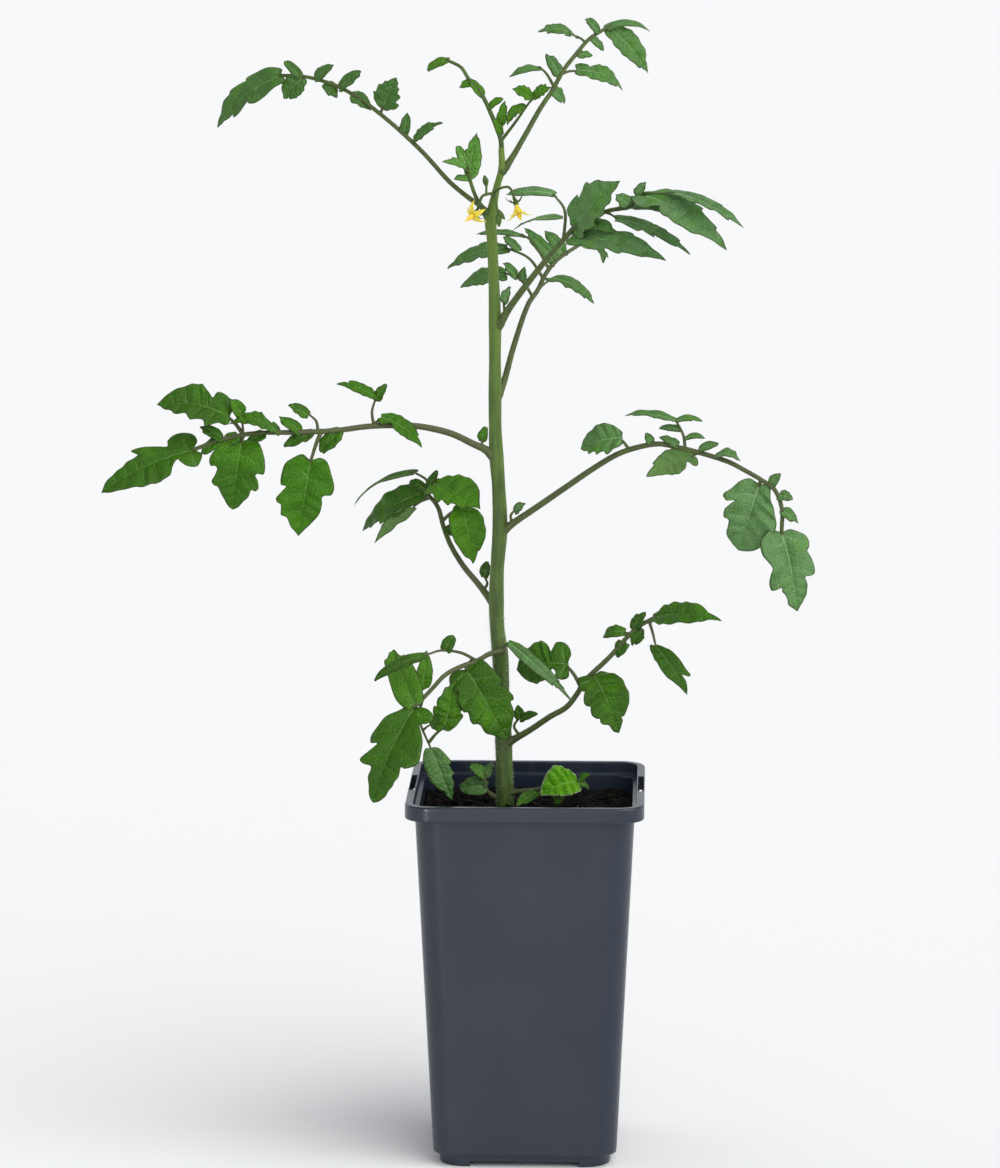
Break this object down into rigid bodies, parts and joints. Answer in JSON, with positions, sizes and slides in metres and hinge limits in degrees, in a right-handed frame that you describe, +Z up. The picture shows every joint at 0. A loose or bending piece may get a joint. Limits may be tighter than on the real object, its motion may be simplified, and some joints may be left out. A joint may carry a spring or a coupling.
{
  "type": "potted tomato plant",
  "caption": "Young tomato plant in flower in a tall square nursery pot: upright stem, spreading compound leaves with lobed leaflets, small yellow flowers.",
  "frame": {"origin": "centre of the pot's base, on the surface that it stands on", "axes": "+Z up along the stem, +X to the right and +Y to the back, square to the pot's sides"},
  "size_m": [0.3866, 0.1713, 0.6244],
  "materials": {
    "pot_plastic": "satin slate grey moulded plastic",
    "compost": "dark crumbly compost",
    "stem_green": "fresh green stem with fine hairs",
    "leaf_green": "matt mid green leaf, paler below",
    "young_leaf": "bright yellow-green young leaf",
    "petal_yellow": "soft yellow petal"
  },
  "bodies": {
    "root": {"pot": "pot_plastic", "soil": "compost", "main_stem": "stem_green", "leaf_low_right": "leaf_green", "leaf_low_left": "leaf_green", "leaf_mid_left": "leaf_green", "leaf_mid_right": "leaf_green", "leaf_upper_left": "leaf_green", "leaf_upper_back": "leaf_green", "leaf_upper_right": "leaf_green", "leaf_top_left": "leaf_green", "leaf_top_right": "leaf_green", "leaf_curled": "young_leaf", "shoot_tip": "young_leaf", "base_shoot_left": "leaf_green", "base_shoot_right": "young_leaf", "flower_truss": "stem_green", "flower_left": "petal_yellow", "flower_right": "petal_yellow"}
  },
  "joints": []
}
